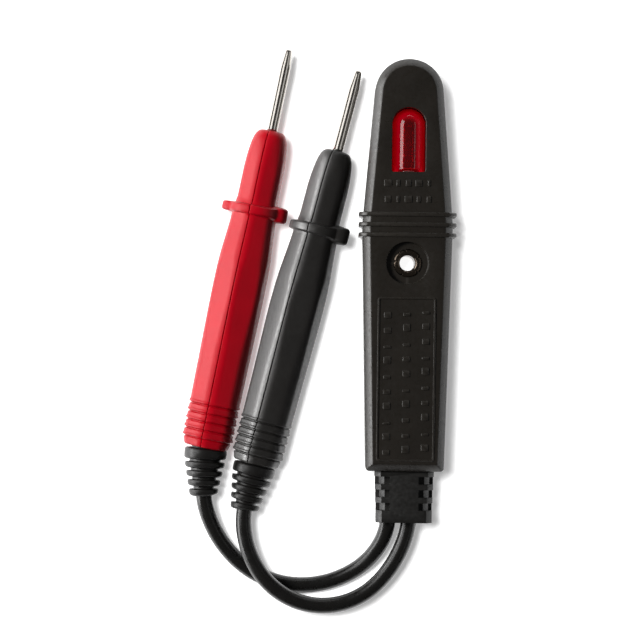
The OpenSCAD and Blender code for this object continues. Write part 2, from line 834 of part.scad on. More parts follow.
// cable end that bends at the joint; the ball there is larger than the cable by knee
module bent_end(joint, lean, boot_lean, radius, knee, up_len) {
    rod(joint, joint + up_len * [sin(lean), cos(lean), 0], radius);
    translate(joint) sphere(r = radius + knee);
    rod(joint - boot_reach * boot_dir(boot_lean), joint, radius);
}

module probe_jacket(joint, lean, boot_lean) {
    color(black_col) difference() {
        union() {
            bent_end(joint, lean, boot_lean, cable_r - 0.005, knee = 0.1, up_len = 38.5);
            translate(joint - boot_reach * boot_dir(boot_lean)) sphere(r = ball_r);
        }
        bent_end(joint, lean, boot_lean, core_bore_r, knee = 0.1, up_len = 40);
    }
}

module probe_core(joint, lean, boot_lean) {
    color(copper_col) bent_end(joint, lean, boot_lean, core_r, knee = 0.06, up_len = 44.8);
}

module red_probe_jacket() { probe_jacket(red_joint, red_lean, red_boot_lean); }
module red_probe_core() { probe_core(red_joint, red_lean, red_boot_lean); }
module red_boot() { boot(red_joint, red_lean, red_boot_lean, red_roll); }
module red_handle(side) { color(red_col) at_red() handle_half(side, guard_w, red_guard_in); }
module black_probe_jacket() { probe_jacket(black_joint, black_lean, black_boot_lean); }
module black_probe_core() { probe_core(black_joint, black_lean, black_boot_lean); }
module black_boot() { boot(black_joint, black_lean, black_boot_lean, black_roll); }
module black_handle(side) {
    color(grip_col) at_black() handle_half(side, black_guard_in, guard_w);
}

front_shell();
rear_shell();
lamp_lens();
neon_glass();
neon_electrodes();
wire_sleeves();
resistor_body();
resistor_wires();
splice_crimps();
eyelet();
strain_relief();
tail_jacket(red_exit_x);  // red_lead_tail_jacket
tail_core(red_exit_x, -1);  // red_lead_tail_core
tail_jacket(black_exit_x);  // black_lead_tail_jacket
tail_core(black_exit_x, 1);  // black_lead_tail_core
red_jacket(0);  // red_lead_a_jacket
red_core(0);  // red_lead_a_core
red_jacket(1);  // red_lead_b_jacket
red_core(1);  // red_lead_b_core
red_jacket(2);  // red_lead_c_jacket
red_core(2);  // red_lead_c_core
red_jacket(3);  // red_lead_d_jacket
red_core(3);  // red_lead_d_core
black_jacket(0);  // black_lead_a_jacket
black_core(0);  // black_lead_a_core
black_jacket(1);  // black_lead_b_jacket
black_core(1);  // black_lead_b_core
black_jacket(2);  // black_lead_c_jacket
black_core(2);  // black_lead_c_core
black_jacket(3);  // black_lead_d_jacket
black_core(3);  // black_lead_d_core
red_probe_jacket();
red_probe_core();
red_boot();
red_handle(-1);  // red_handle_left
red_handle(1);  // red_handle_right
at_red() pin();  // red_pin
at_red() ferrule();  // red_ferrule
black_probe_jacket();
black_probe_core();
black_boot();
black_handle(-1);  // black_handle_left
black_handle(1);  // black_handle_right
at_black() pin();  // black_pin
at_black() ferrule();  // black_ferrule
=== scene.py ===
"""Two-lead neon voltage tester, lying flat with its face up (+Z).

The hanging hole is at the origin, the domed top of the housing points to +Y and both leads
leave through the bottom end (-Y). Each lead curves away to a probe: boot, handle and pin.
Lengths are millimetres unless a name ends in _M; meshes and lights are made in metres.
"""
import bpy, bmesh, math, json
import numpy as np
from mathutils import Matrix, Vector

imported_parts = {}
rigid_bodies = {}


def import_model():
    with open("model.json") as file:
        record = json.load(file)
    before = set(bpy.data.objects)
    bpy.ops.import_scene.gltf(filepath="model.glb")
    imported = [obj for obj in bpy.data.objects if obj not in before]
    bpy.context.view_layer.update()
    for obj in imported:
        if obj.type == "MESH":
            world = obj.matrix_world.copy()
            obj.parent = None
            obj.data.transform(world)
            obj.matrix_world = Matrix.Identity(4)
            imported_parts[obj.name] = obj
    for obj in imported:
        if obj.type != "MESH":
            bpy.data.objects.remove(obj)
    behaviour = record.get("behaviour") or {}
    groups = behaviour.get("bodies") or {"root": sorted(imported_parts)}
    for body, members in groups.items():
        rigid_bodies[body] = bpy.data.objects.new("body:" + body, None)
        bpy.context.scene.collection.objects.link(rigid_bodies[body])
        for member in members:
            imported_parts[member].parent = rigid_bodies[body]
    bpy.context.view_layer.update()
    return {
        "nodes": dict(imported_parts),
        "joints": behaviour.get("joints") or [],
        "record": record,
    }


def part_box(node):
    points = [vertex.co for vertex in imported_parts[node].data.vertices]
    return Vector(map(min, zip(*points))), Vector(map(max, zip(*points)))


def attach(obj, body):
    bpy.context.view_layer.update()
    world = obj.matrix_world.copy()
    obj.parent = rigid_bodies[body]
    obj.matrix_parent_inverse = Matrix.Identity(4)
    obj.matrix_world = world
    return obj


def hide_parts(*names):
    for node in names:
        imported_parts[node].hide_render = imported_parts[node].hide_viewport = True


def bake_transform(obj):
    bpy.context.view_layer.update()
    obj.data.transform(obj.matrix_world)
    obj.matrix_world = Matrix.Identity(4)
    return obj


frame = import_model()
record = frame["record"]
cad_nodes = frame["nodes"]
joints = {joint["name"]: joint for joint in frame["joints"]}
mounts = {mount["name"]: mount for mount in record["mounts"]}
MM = 0.001
rad = math.radians


def box_mm(*path):
    return [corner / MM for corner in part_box(*path)]


def joint_mm(name):
    return np.array(joints[name]["pos_m"]) / MM


# ------------------------------------------------------------------ materials
class Shader:
    """A material and its Principled shader."""

    def __init__(self, name):
        self.material = bpy.data.materials.new(name)
        self.material.use_nodes = True
        self.tree = self.material.node_tree
        self.principled = self.tree.nodes["Principled BSDF"]

    def feed(self, node, inputs):
        """Set each input to a value, or link it when given another node's output."""
        for key, value in inputs.items():
            if isinstance(value, bpy.types.NodeSocket):
                self.tree.links.new(value, node.inputs[key])
            else:
                node.inputs[key].default_value = value

    def surface(self, inputs):
        self.feed(self.principled, inputs)

    def node(self, kind, inputs=None, **settings):
        node = self.tree.nodes.new("ShaderNode" + kind)
        for key, value in settings.items():
            setattr(node, key, value)
        self.feed(node, inputs or {})
        return node

    def map_range(self, value, from_range=(0, 1), to_range=(0, 1), **settings):
        node = self.node("MapRange", {
            "Value": value, "From Min": from_range[0], "From Max": from_range[1],
            "To Min": to_range[0], "To Max": to_range[1]}, **settings)
        return node.outputs["Result"]


def solid(name, color, rough, grain_depth, grain_scale=900, metallic=0.0, specular=0.5,
          rough_drift=0.08, color_drift=0.12, fine_grain=None, wear=0.0, wear_color=None):
    """Opaque plastic or metal with drifting colour and roughness, grain and edge wear.

    Grain depths are in mm; fine_grain is (scale, depth).
    """
    shader = Shader(name)
    coords = shader.node("TexCoord").outputs["Object"]
    grain = shader.node("TexNoise", {
        "Vector": coords, "Scale": grain_scale, "Detail": 4}).outputs["Fac"]
    drift = shader.node("TexNoise", {
        "Vector": coords, "Scale": grain_scale * 0.12, "Detail": 3}).outputs["Fac"]
    tint = shader.map_range(drift, (0.3, 0.7), (1 - color_drift, 1 + color_drift))
    base = shader.node("VectorMath", {0: color, "Scale": tint},
                       operation="SCALE").outputs["Vector"]
    if wear > 0:
        pointiness = shader.node("NewGeometry").outputs["Pointiness"]
        edges = shader.map_range(pointiness, (0.54, 0.62), (0.0, wear))
        worn = shader.node("Math", {0: edges, 1: grain}, operation="MULTIPLY").outputs["Value"]
        wear_color = wear_color or [min(1, c * 4 + 0.05) for c in color]
        base = shader.node("Mix", {"Factor": worn, "A": base, "B": (*wear_color, 1)},
                           data_type="RGBA").outputs["Result"]
    rough_range = (max(0.02, rough - rough_drift), rough + rough_drift)
    roughness = shader.map_range(grain, (0.3, 0.7), rough_range)
    normal = shader.node("Bump", {
        "Distance": grain_depth * MM, "Height": grain}).outputs["Normal"]
    if fine_grain:
        fine_scale, fine_depth = fine_grain
        cells = shader.node("TexVoronoi", {"Scale": fine_scale, "Vector": coords})
        normal = shader.node("Bump", {
            "Distance": fine_depth * MM, "Height": cells.outputs["Distance"],
            "Normal": normal}).outputs["Normal"]
    shader.surface({
        "Base Color": base, "Roughness": roughness, "Normal": normal, "Metallic": metallic,
        "Specular IOR Level": specular, "Coat Roughness": 0.1})
    return shader.material


def lens_material():
    shader = Shader("red_lens")
    coords = shader.node("TexCoord").outputs["Object"]
    noise = shader.node("TexNoise", {
        "Scale": 260, "Detail": 3, "Vector": coords}).outputs["Fac"]
    roughness = shader.map_range(noise, to_range=(0.04, 0.12))
    color = shader.node("Mix", {
        "Factor": noise, "A": (0.66, 0.001, 0.014, 1), "B": (0.86, 0.003, 0.024, 1)},
        data_type="RGBA").outputs["Result"]
    # painted highlight: the tinted wall is given a glow where it is seen at a slant, standing in
    # for light caught there, and stays dark where it faces the eye
    facing = shader.node("LayerWeight", {"Blend": 0.5}).outputs["Facing"]
    rise = shader.map_range(facing, (0.05, 0.20), interpolation_type="SMOOTHSTEP")
    fall = shader.map_range(facing, (0.16, 0.55), (0.15, 0.006),
                            interpolation_type="SMOOTHSTEP")
    glow_with_painted_light = shader.node("Math", {0: rise, 1: fall}, operation="MULTIPLY").outputs["Value"]
    bump = shader.node("Bump", {"Distance": 0.01 * MM, "Height": noise})
    # the emission paints highlights onto the lens sides; no lamp lights the lens
    shader.surface({
        "Base Color": color, "Roughness": roughness, "Transmission Weight": 0.94, "IOR": 1.49,
        "Emission Color": (1.0, 0.0, 0.03, 1), "Emission Strength": glow_with_painted_light,
        "Coat Weight": 0.5, "Coat Roughness": 0.03, "Normal": bump.outputs["Normal"]})
    return shader.material


def glass_material():
    shader = Shader("lamp_glass")
    coords = shader.node("TexCoord").outputs["Object"]
    noise = shader.node("TexNoise", {"Scale": 400, "Vector": coords}).outputs["Fac"]
    shader.surface({
        "Roughness": shader.map_range(noise, to_range=(0.02, 0.08)),
        "Base Color": (0.96, 0.93, 0.9, 1), "Transmission Weight": 0.92, "IOR": 1.47})
    return shader.material


# by material slot
MATERIALS = {
    "housing_plastic": solid(
        "housing_black", (0.0165, 0.0140, 0.0112), rough=0.33, specular=0.55,
        grain_depth=0.004, grain_scale=1400, fine_grain=(5200, 0.0016), wear=0.25),
    "grip_plastic": solid(
        "grip_black", (0.0145, 0.0132, 0.0120), rough=0.48,
        grain_depth=0.006, grain_scale=1500, fine_grain=(4500, 0.0015), wear=0.2),
    "red_plastic": solid(
        "grip_red", (0.47, 0.0004, 0.009), rough=0.40, specular=0.28, color_drift=0.06,
        grain_depth=0.006, grain_scale=1500, fine_grain=(4500, 0.0015),
        wear=0.35, wear_color=(0.62, 0.03, 0.04)),
    "soft_black": solid(
        "soft_black", (0.0085, 0.0080, 0.0074), rough=0.40, specular=0.45,
        grain_depth=0.008, grain_scale=1300, wear=0.25),
    "cable_pvc": solid(
        "cable_black", (0.0080, 0.0076, 0.0070), rough=0.28, rough_drift=0.06,
        grain_depth=0.005, grain_scale=500),
    "nickel_pin": solid(
        "nickel_pin", (0.52, 0.49, 0.45), rough=0.19, metallic=1.0, rough_drift=0.05,
        color_drift=0.04, grain_depth=0.002, grain_scale=2500),
    "dark_eyelet": solid(
        "dark_eyelet", (0.17, 0.135, 0.105), rough=0.24, metallic=1.0, rough_drift=0.05,
        grain_depth=0.01, grain_scale=1500, wear=0.2, wear_color=(0.5, 0.45, 0.38)),
    "lamp_wire": solid(
        "lamp_wire", (0.62, 0.60, 0.57), rough=0.25, metallic=1.0,
        grain_depth=0.003, grain_scale=2500),
    "tinned_brass": solid(
        "tinned_brass", (0.72, 0.60, 0.36), rough=0.28, metallic=1.0,
        grain_depth=0.004, grain_scale=1800),
    "copper": solid(
        "copper", (0.82, 0.40, 0.22), rough=0.3, metallic=1.0,
        grain_depth=0.02, grain_scale=1800),
    "sleeve_plastic": solid(
        "sleeve_plastic", (0.66, 0.63, 0.54), rough=0.5, grain_depth=0.01),
    "resistor_lacquer": solid(
        "resistor_lacquer", (0.52, 0.38, 0.2), rough=0.35, grain_depth=0.01, wear=0.2),
    "red_lens": lens_material(),
    "lamp_glass": glass_material(),
}


def paint_cad():
    slot_of = {part["node"]: part["material_slot"] for part in record["subparts"]}
    for name, obj in cad_nodes.items():
        material = MATERIALS[slot_of[name]]
        if obj.material_slots:
            for slot in obj.material_slots:
                slot.link = "OBJECT"
                slot.material = material
        else:
            obj.data.materials.append(material)


paint_cad()


# ------------------------------------------------------------------ mesh helpers
def add_object(name, data):
    obj = bpy.data.objects.new(name, data)
    bpy.context.scene.collection.objects.link(obj)
    return obj


def shade(mesh, sharp):
    """Smooth shading with edges over `sharp` degrees kept sharp; None shades flat."""
    mesh.polygons.foreach_set("use_smooth", [sharp is not None] * len(mesh.polygons))
    if sharp is not None:
        mesh.set_sharp_from_angle(angle=rad(sharp))


class Builder:
    """Collects shells, in millimetres, into one mesh."""

    def __init__(self):
        self.verts, self.faces = [], []

    def loft(self, rings, first_cap=False, last_cap=False):
        """Skin through closed rings of equal point count."""
        count, base = len(rings[0]), len(self.verts)
        for ring in rings:
            self.verts.extend([tuple(point) for point in ring])
        last = base + (len(rings) - 1) * count
        for a in range(base, last, count):
            b = a + count
            for i in range(count):
                j = (i + 1) % count
                self.faces.append([a + i, a + j, b + j, b + i])
        if first_cap:
            self.faces.append([base + i for i in range(count)][::-1])
        if last_cap:
            self.faces.append([last + i for i in range(count)])

    def tube(self, outer, inner):
        """Two skins joined by flat rings at both ends."""
        self.loft(outer)
        self.loft(inner)
        for end in (0, -1):
            self.loft([outer[end], inner[end]])

    def fill(self, *loops):
        """Flat region bounded by the first loop, with the others as holes."""
        bm = bmesh.new()
        edges = []
        for loop in loops:
            verts = [bm.verts.new(point) for point in loop]
            edges += [bm.edges.new((verts[i], verts[(i + 1) % len(verts)]))
                      for i in range(len(verts))]
        bmesh.ops.triangle_fill(bm, use_beauty=True, use_dissolve=False, edges=edges)
        bm.verts.index_update()
        base = len(self.verts)
        self.verts.extend([vert.co[:] for vert in bm.verts])
        self.faces.extend([[vert.index + base for vert in face.verts] for face in bm.faces])
        bm.free()

    def fill_at(self, z, *outlines):
        self.fill(*[at_z(points, z) for points in outlines])

    def make(self, name, slot, sharp=None, weld=0.002):
        mesh = bpy.data.meshes.new(name)
        mesh.from_pydata([tuple(float(c) * MM for c in vert) for vert in self.verts], [],
                         [list(map(int, face)) for face in self.faces])
        bm = bmesh.new()
        bm.from_mesh(mesh)
        bmesh.ops.remove_doubles(bm, verts=bm.verts, dist=weld * MM)
        bmesh.ops.dissolve_degenerate(bm, edges=bm.edges, dist=1e-7)
        bmesh.ops.recalc_face_normals(bm, faces=bm.faces)
        bm.to_mesh(mesh)
        bm.free()
        shade(mesh, sharp)
        mesh.materials.append(MATERIALS[slot])
        return add_object(name, mesh)


def turn_angles(count):
    return [2 * math.pi * i / count for i in range(count)]


def lathe_rings(profile, count, place):
    """Rings from (radius, height) points; place(x, height, z) puts a point in the scene."""
    return [[place(radius * math.cos(angle), height, radius * math.sin(angle))
             for angle in turn_angles(count)] for radius, height in profile]


def at_z(points, z):
    return [(point[0], point[1], z) for point in points]


def stack(shape, profile):
    """Rings shape(size) at height z for each (size, z) of the profile."""
    return [at_z(shape(size), z) for size, z in profile]


def circle(radius):
    return [(radius * math.cos(angle), radius * math.sin(angle)) for angle in turn_angles(96)]


MIN_CORNER_R = 0.12


def rounded_polygon(corners, radii, inset, steps):
    """Convex anticlockwise outline with rounded corners, moved inwards by inset.

    The point count is the same for every inset.
    """
    corners = [np.array(corner, float) for corner in corners]
    sides = []  # (point on the inset side, direction)
    for i, start in enumerate(corners):
        along = corners[(i + 1) % len(corners)] - start
        along = along / np.linalg.norm(along)
        sides.append((start + np.array([-along[1], along[0]]) * inset, along))
    points = []
    for i in range(len(corners)):
        (p, d), (q, e) = sides[i - 1], sides[i]
        reach = np.linalg.solve(np.array([[d[0], -e[0]], [d[1], -e[1]]]), q - p)
        corner = p + d * reach[0]
        turn = math.atan2(d[0] * e[1] - d[1] * e[0], d @ e)
        radius = max(radii[i] - inset, MIN_CORNER_R)
        start = corner - d * (radius * math.tan(turn / 2))
        centre = start + np.array([-d[1], d[0]]) * radius
        angle0 = math.atan2(*(start - centre)[::-1])
        for k in range(steps[i] + 1):
            angle = angle0 + turn * k / steps[i]
            points.append(centre + radius * np.array([math.cos(angle), math.sin(angle)]))
    return np.array(points)


def rounded_box(x, y, half_x, half_y, radius, inset, steps):
    corners = [(x - half_x, y - half_y), (x + half_x, y - half_y),
               (x + half_x, y + half_y), (x - half_x, y + half_y)]
    return rounded_polygon(corners, [radius] * 4, inset, [steps] * 4)


def join(obj, other):
    for selected in bpy.context.selected_objects:
        selected.select_set(False)
    other.select_set(True)
    obj.select_set(True)
    bpy.context.view_layer.objects.active = obj
    bpy.ops.object.join()
    obj.select_set(False)


def register(obj, body, slot, *cad_parts):
    """Fix a piece to a moving body, in place of its CAD parts."""
    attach(obj, body)
    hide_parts(*cad_parts)


# ------------------------------------------------------------------ housing dimensions
front_lo, front_hi = box_mm("front_shell")
SEAM = front_lo.z
BACK = box_mm("rear_shell")[0].z
BOTTOM = front_lo.y
HALF_WIDTH = front_hi.x  # over the ribs
DOME_R = 7.7
DOME_Y = front_hi.y - DOME_R
RIB_RISE = 0.35
FACE = front_hi.z - RIB_RISE
SHOULDER_X, SHOULDER_Y = HALF_WIDTH - 0.8, 8.5  # widest place of the outline
FOOT_X = 8.8  # half width at the bottom end
WALL = 1.7
CEILING = FACE - WALL  # inside of the front wall
FACE_BEVEL = 1.7
BACK_BEVEL = 0.9
RIM_EASE = 0.14
FACE_EDGE = FACE_BEVEL + 0.2
BACK_EDGE = BACK_BEVEL + 0.2

# side ribs, shared by both shells
RIB_Y = [6.3 + i * 2.3 for i in range(3)]
RIB_DEPTH = 1.25
# (y from the rib's middle, inset)
RIB_EASE = [(-0.5, 0.22), (-0.44, 0.08), (-0.3, 0.0), (0.3, 0.0), (0.44, 0.08), (0.5, 0.22)]

LENS_R = 3.7
LENS_DOME_Y = box_mm("lamp_lens")[1].y - LENS_R + 0.05 - 0.05
WINDOW_DOME_Y = box_mm("lamp_lens")[1].y - LENS_R + 0.05
WINDOW_HALF = 7.5 / 2
WINDOW_Y0 = 20.4

RECESS_R, RECESS_DEPTH = 4.72, 1.3  # round recess in the face about the hanging hole
BACK_RECESS_R, BACK_RECESS_DEPTH = 3.28, 0.5
BORE_R = 2.15


def outline_apex():
    """Where the two side lines, carried on past the dome, meet."""
    rise = DOME_Y - SHOULDER_Y
    distance = math.hypot(SHOULDER_X, rise)
    angle = math.atan2(rise, -SHOULDER_X) - math.asin(DOME_R / distance)
    length = (0 - SHOULDER_X) / math.cos(angle)
    return (0.0, SHOULDER_Y + math.sin(angle) * length)


OUTLINE_CORNERS = [(-FOOT_X, BOTTOM), (FOOT_X, BOTTOM), (SHOULDER_X, SHOULDER_Y),
                   outline_apex(), (-SHOULDER_X, SHOULDER_Y)]
OUTLINE_RADII = [0.9, 0.9, 14.0, DOME_R, 14.0]
OUTLINE_STEPS = [7, 7, 6, 60, 6]


def outline(inset):
    return rounded_polygon(OUTLINE_CORNERS, OUTLINE_RADII, inset, OUTLINE_STEPS)


def window(widen):
    """Opening for the lens: round at the top, small corners at the bottom."""
    half = WINDOW_HALF + widen
    points = [(half * math.cos(math.pi * i / 40),
               WINDOW_DOME_Y + half * math.sin(math.pi * i / 40)) for i in range(41)]
    corner = max(0.35 + widen, 0.1)
    y = WINDOW_Y0 - widen + corner
    for x, angle0 in ((-half + corner, math.pi), (half - corner, 1.5 * math.pi)):
        for k in range(5):
            angle = angle0 + math.pi / 2 * k / 4
            points.append((x + corner * math.cos(angle), y + corner * math.sin(angle)))
    return points


# ------------------------------------------------------------------ housing shells
def shell_walls(builder, skin, rim_z, inner_z):
    """Outer skin from (inset, z) points, inner side wall and the rim between them."""
    inner = outline(WALL)
    builder.loft(stack(outline, skin))
    builder.loft([at_z(inner, rim_z), at_z(inner, inner_z)])
    builder.fill_at(rim_z, outline(RIM_EASE), inner)


def stepped_hole(builder, recess, inner_z):
    """Recess wall from (radius, z) points, its flat floor and the bore through it."""
    floor_r, floor_z = recess[-1]
    builder.loft(stack(circle, recess))
    builder.loft([at_z(circle(BORE_R), floor_z), at_z(circle(BORE_R), inner_z)])
    builder.fill_at(floor_z, circle(floor_r), circle(BORE_R))


def cut_opening(obj):
    """Rectangular opening in the bottom wall for the strain relief's neck."""
    half_x, half_z = 6.0, 3.55
    block = Builder()
    block.loft([[(-half_x, y, SEAM - half_z), (half_x, y, SEAM - half_z),
                 (half_x, y, SEAM + half_z), (-half_x, y, SEAM + half_z)]
                for y in (BOTTOM - 1, BOTTOM + WALL + 0.6)], True, True)
    cutter = block.make("cutter", "housing_plastic")
    modifier = obj.modifiers.new("cut", "BOOLEAN")
    modifier.operation = "DIFFERENCE"
    modifier.solver = "EXACT"
    modifier.object = cutter
    depsgraph = bpy.context.evaluated_depsgraph_get()
    mesh = bpy.data.meshes.new_from_object(obj.evaluated_get(depsgraph), depsgraph=depsgraph)
    obj.modifiers.remove(modifier)
    uncut = obj.data
    obj.data = mesh
    bpy.data.meshes.remove(uncut)
    bpy.data.objects.remove(cutter)
    shade(mesh, 28)


def front_rib_section(inset):
    """U-shaped outline of one rib over the face and both sides, as (x, z) points."""
    bevel, z0 = FACE_BEVEL, SEAM + 0.03
    x, top = HALF_WIDTH - inset, FACE + RIB_RISE - inset
    outer = [(x, z0), (x, top - bevel - 0.15), (x - 0.12, top - bevel + 0.12),
             (x - bevel + 0.12, top - 0.12), (x - bevel - 0.2, top)]
    depth = RIB_DEPTH - inset
    x, top = x - depth, top - depth
    inner = [(x, z0), (x, top - bevel + 0.4), (x - bevel + 0.4, top)]
    return ([(-x, z) for x, z in outer] + outer[::-1]
            + inner + [(-x, z) for x, z in inner[::-1]])


def front_ribs(builder):
    for rib_y in RIB_Y:
        rings = [[(x, rib_y + y, z) for x, z in front_rib_section(inset)]
                 for y, inset in RIB_EASE]
        builder.loft(rings)
        builder.fill(rings[0])
        builder.fill(rings[-1])


def face_frame(builder):
    """Raised rectangular frame on the lower part of the face."""
    half_x, y0, y1 = 6.5, -44.35, -7.65
    # (inset, height over the face)
    section = [(0.0, -0.15), (0.0, 0.13), (0.08, 0.24), (0.37, 0.24), (0.45, 0.13),
               (0.45, -0.15)]
    builder.loft([
        at_z(rounded_box(0.0, (y0 + y1) / 2, half_x, (y1 - y0) / 2, 0.7, inset, 5), FACE + up)
        for inset, up in section + section[:1]])


def bar_length(i, k):
    return 1.15 + 0.55 * math.sin(rad(137 * i + 71 * k))


def face_bars(builder):
    """Raised bars: three columns inside the frame, two short rows under the window."""
    bars = []  # (x, y, half x, half y)
    for k in range(3):
        for i in range(10):
            half = bar_length(i, k) / 2
            bars.append((-4.3 + k * 4.3, -43 + i * 3.4 + 0.5 * k + half, 0.8, half))
    for k in range(2):
        for i in range(-2, 3):
            bars.append((i * 2.3, 17.1 - k * 3.6 + 0.75, bar_length(i, k) / 2, 0.75))
    # (inset, height over the face)
    section = [(0.0, -0.15), (0.0, 0.12), (0.05, 0.2), (0.12, 0.23)]
    for bar in bars:
        builder.loft([at_z(rounded_box(*bar, 0.16, inset, 3), FACE + up)
                      for inset, up in section], True, True)


def front_shell():
    bevel = FACE_BEVEL
    shell = Builder()
    shell_walls(shell, [
        (RIM_EASE, SEAM), (0.03, SEAM + 0.05), (0.0, SEAM + 0.16),
        (0.0, FACE - bevel - 0.22), (0.035, FACE - bevel - 0.05), (0.12, FACE - bevel + 0.08),
        (bevel - 0.16, FACE - 0.14), (bevel - 0.02, FACE - 0.035), (FACE_EDGE, FACE)],
        rim_z=SEAM, inner_z=CEILING)
    shell.loft(stack(window, [(0.26, FACE), (0.10, FACE - 0.03), (0.02, FACE - 0.12),
                              (0.0, FACE - 0.25), (0.0, CEILING)]))
    stepped_hole(shell, [
        (RECESS_R + 0.24, FACE), (RECESS_R + 0.09, FACE - 0.03), (RECESS_R + 0.01, FACE - 0.13),
        (RECESS_R, FACE - 0.26), (RECESS_R, FACE - RECESS_DEPTH + 0.15),
        (RECESS_R - 0.15, FACE - RECESS_DEPTH)], inner_z=CEILING)
    shell.fill_at(FACE, outline(FACE_EDGE), window(0.26), circle(RECESS_R + 0.24))
    shell.fill_at(CEILING, outline(WALL), window(0.0), circle(BORE_R))
    obj = shell.make("front_shell_visual", "housing_plastic", sharp=28)
    cut_opening(obj)
    # raised detail is closed shells of its own, sunk into the wall
    detail = Builder()
    front_ribs(detail)
    face_frame(detail)
    face_bars(detail)
    join(obj, detail.make("front_detail", "housing_plastic", sharp=35, weld=0.0005))
    register(obj, "housing", "housing_plastic", "front_shell")


def rear_ribs(builder, rim_z):
    for side in (-1, 1):
        for rib_y in RIB_Y:
            rings = []
            for y, inset in RIB_EASE:
                outer, inner = HALF_WIDTH - inset, HALF_WIDTH - RIB_DEPTH
                section = [(inner, BACK + 0.95), (outer - 0.9, BACK + 0.65 + inset),
                           (outer, BACK + 1.7 + inset), (outer, rim_z - 0.03),
                           (inner, rim_z - 0.03)]
                rings.append([(side * x, rib_y + y, z) for x, z in section])
            builder.loft(rings, True, True)


def rear_shell():
    bevel, hole_r = BACK_BEVEL, BACK_RECESS_R
    rim_z = SEAM - 0.02
    inner_z = BACK + WALL
    shell = Builder()
    shell_walls(shell, [
        (RIM_EASE, rim_z), (0.03, rim_z - 0.05), (0.0, rim_z - 0.16),
        (0.0, BACK + bevel + 0.2), (0.04, BACK + bevel + 0.03), (0.12, BACK + bevel - 0.1),
        (bevel - 0.14, BACK + 0.13), (bevel, BACK + 0.03), (BACK_EDGE, BACK)],
        rim_z, inner_z)
    stepped_hole(shell, [
        (hole_r + 0.17, BACK), (hole_r + 0.02, BACK + 0.1), (hole_r, BACK + 0.2),
        (hole_r, BACK + BACK_RECESS_DEPTH)], inner_z)
    shell.fill_at(BACK, outline(BACK_EDGE), circle(hole_r + 0.17))
    shell.fill_at(inner_z, outline(WALL), circle(BORE_R))
    obj = shell.make("rear_shell_visual", "housing_plastic", sharp=28)
    cut_opening(obj)
    detail = Builder()
    rear_ribs(detail, rim_z)
    join(obj, detail.make("rear_detail", "housing_plastic", sharp=35))
    register(obj, "housing", "housing_plastic", "rear_shell")


front_shell()
rear_shell()


# ------------------------------------------------------------------ lens, eyelet, strain relief
def lens():
    """Hollow round-ended lens along +Y, with a flange at its open lower end."""
    glass_lo, glass_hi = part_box("neon_glass")
    axis_z = (glass_lo.z + glass_hi.z) / 2 / MM
    bore_r, open_y, flange_r = 3.1, 18.4, 4.4

    def wall_and_dome(radius, y0, dome_y):
        wall = [(radius, y) for y in np.linspace(y0, dome_y, 14)]
        return wall + [(radius * math.cos(a), dome_y + radius * math.sin(a))
                       for a in np.linspace(0.08, math.pi / 2 - 0.02, 16)]

    def place(x, y, z):
        # the lower end is flattened to stay under the front wall
        if y < WINDOW_Y0 + 0.02:
            z = min(z, CEILING - axis_z - 0.12)
        return (x, y, axis_z + z)

    # (radius, y)
    outer = [(flange_r, open_y), (flange_r, 19.45), (LENS_R + 0.1, 19.55), (LENS_R, 19.7)]
    outer += wall_and_dome(LENS_R, 20.2, LENS_DOME_Y)
    inner = [(bore_r, open_y)] + wall_and_dome(bore_r, 19.5, LENS_DOME_Y - 0.25)
    outer, inner = (lathe_rings(profile, 96, place) for profile in (outer, inner))
    builder = Builder()
    builder.loft(outer, last_cap=True)
    builder.loft(inner, last_cap=True)
    builder.loft([outer[0], inner[0]])
    obj = builder.make("lamp_lens_visual", "red_lens", sharp=35)
    register(obj, "housing", "red_lens", "lamp_lens")


def eyelet():
    """Tubular rivet in the hanging hole; its rolled front rim is split at five places."""
    low, high = box_mm("eyelet")
    rim_r = 3.15
    # (radius, depth under the front end, depth of the splits)
    front = [(1.72, 0.75, 0), (1.74, 0.5, 0), (1.84, 0.22, 0), (2.02, 0.06, 0), (2.25, 0, 0),
             (2.55, 0.02, 0.1), (2.85, 0.09, 0.3), (3.07, 0.2, 0.5), (rim_r, 0.34, 0.55),
             (3.1, 0.45, 0.5), (2.9, 0.5, 0.3), (2.14, 0.5, 0), (2.1, 0.6, 0)]
    # (radius, height over the rear end)
    rear = [(2.1, 0.5), (2.2, 0.46), (rim_r - 0.1, 0.45), (rim_r, 0.35), (rim_r - 0.03, 0.18),
            (rim_r - 0.3, 0.04), (2.3, 0.01), (1.85, 0.12), (1.72, 0.4)]

    def ring(radius, z, split):
        points = []
        for angle in turn_angles(120):
            r = radius
            for k in range(5):
                away = (angle - (0.5 + 2 * math.pi * k / 5) + math.pi) % (2 * math.pi) - math.pi
                r -= split * math.exp(-(away / 0.045) ** 2)
            points.append((r * math.cos(angle), r * math.sin(angle), z))
        return points

    rings = [ring(radius, high.z - depth, split) for radius, depth, split in front]
    rings += [ring(radius, low.z + height, 0) for radius, height in rear]
    builder = Builder()
    builder.loft(rings + rings[:1])
    obj = builder.make("eyelet_visual", "dark_eyelet", sharp=60)
    register(obj, "housing", "dark_eyelet", "eyelet")


